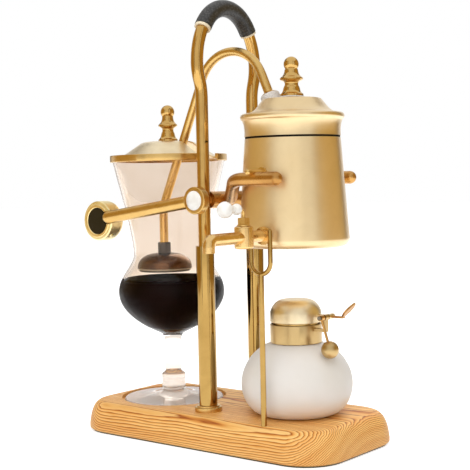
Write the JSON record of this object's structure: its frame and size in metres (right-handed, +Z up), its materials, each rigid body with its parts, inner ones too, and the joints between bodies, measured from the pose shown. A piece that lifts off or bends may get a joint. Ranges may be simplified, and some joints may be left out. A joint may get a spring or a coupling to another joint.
{
  "type": "balance siphon coffee maker",
  "caption": "Balance siphon coffee maker on a wooden board: a glass chamber and a metal boiler on a tilting beam, joined by a siphon tube, with a spirit lamp, tap and carrying handle.",
  "frame": {"origin": "on the underside of the felt, midway between the two posts", "axes": "+X from the glass chamber to the boiler, +Y from front to back, +Z up"},
  "size_m": [0.272, 0.1925, 0.3838],
  "materials": {
    "brass": "polished",
    "plated_sheet": "polished plated sheet",
    "pale_sheet": "polished plated sheet",
    "aged_brass": "satin",
    "pale_trim": "satin",
    "steel": "brushed",
    "oak": "lacquered",
    "felt": "matt",
    "grip_rubber": "satin",
    "seal_rubber": "matt",
    "clear_glass": "clear",
    "frosted_glass": "frosted",
    "silicone": "matt",
    "white_ceramic": "glazed",
    "badge_black": "gloss",
    "cotton": "matt"
  },
  "bodies": {
    "stand": {"base_board": "oak", "base_felt": "felt", "post_sleeves": "brass", "post_flanges": "brass", "post_bolts": "steel", "handle_frame": "brass", "handle_grip": "grip_rubber", "grip_rings": "pale_trim", "pivot_bushes": "aged_brass", "tap_prop": "brass", "prop_nut": "steel", "glass_chamber": "clear_glass"},
    "beam": {"pivot_shaft": "steel", "beam_yoke": "aged_brass", "balance_bar": "brass", "pivot_enamel": "white_ceramic", "rear_pivot_cap": "brass", "counterweight": "brass", "badge_bezel": "brass", "badge_disc": "badge_black", "counterweight_screw": "steel"},
    "boiler": {"boiler_vessel": "plated_sheet", "boiler_lid": "plated_sheet", "lid_seal": "seal_rubber", "trunnion_pins": "brass", "filler_gasket": "silicone", "siphon_tube": "brass", "boiler_stopper": "silicone", "stopper_cap": "brass", "filter_stopper": "silicone", "filter_bell": "steel", "filter_cloth": "cotton", "filter_clip": "steel", "tap_body": "aged_brass", "tap_washers": "silicone", "tap_nut": "aged_brass"},
    "filler": {"filler_knob": "brass"},
    "tap_lever": {"tap_plug": "brass", "tap_wire": "brass", "tap_handle": "white_ceramic"},
    "chamber_cover": {"chamber_lid": "pale_sheet", "chamber_lid_knob": "brass", "chamber_rim": "brass"},
    "lamp": {"lamp_bowl": "frosted_glass", "lamp_collar": "brass", "wick_holder": "brass", "wick": "cotton", "lamp_hinge_pin": "steel"},
    "snuffer": {"snuffer_lid": "brass", "snuffer_tab": "brass"},
    "snuffer_ball": {"weight_arm": "aged_brass", "snuffer_weight": "brass"}
  },
  "joints": [
    {"name": "beam_tilt", "type": "hinge", "parent": "stand", "child": "beam", "pos_m": [0, 0, 0.2093], "axis": [0, 1, 0], "range_deg": [0, 10]},
    {"name": "boiler_hang", "type": "hinge", "parent": "beam", "child": "boiler", "pos_m": [0.0697, 0, 0.232], "axis": [0, 1, 0], "range_deg": [-10, 0]},
    {"name": "filler_lift", "type": "slide", "parent": "boiler", "child": "filler", "axis": [0, 0, 1], "range_m": [0, 0.025]},
    {"name": "tap_turn", "type": "hinge", "parent": "boiler", "child": "tap_lever", "pos_m": [0.07527, -0.0758, 0.1805], "axis": [0, 0, 1], "range_deg": [0, 90]},
    {"name": "cover_lift", "type": "slide", "parent": "stand", "child": "chamber_cover", "axis": [0, 0, 1], "range_m": [0, 0.03]},
    {"name": "lamp_slide", "type": "slide", "parent": "stand", "child": "lamp", "axis": [1, 0, 0], "range_m": [0, 0.08]},
    {"name": "snuffer_open", "type": "hinge", "parent": "lamp", "child": "snuffer", "pos_m": [0.1017, 0, 0.1109], "axis": [0, 1, 0], "range_deg": [0, 115]},
    {"name": "ball_swing", "type": "hinge", "parent": "lamp", "child": "snuffer_ball", "pos_m": [0.1017, 0, 0.1109], "axis": [0, 1, 0], "range_deg": [-60, 0]}
  ],
  "couplings": [
    {"joint": "boiler_hang", "follows": "beam_tilt", "ratio": -1}
  ]
}
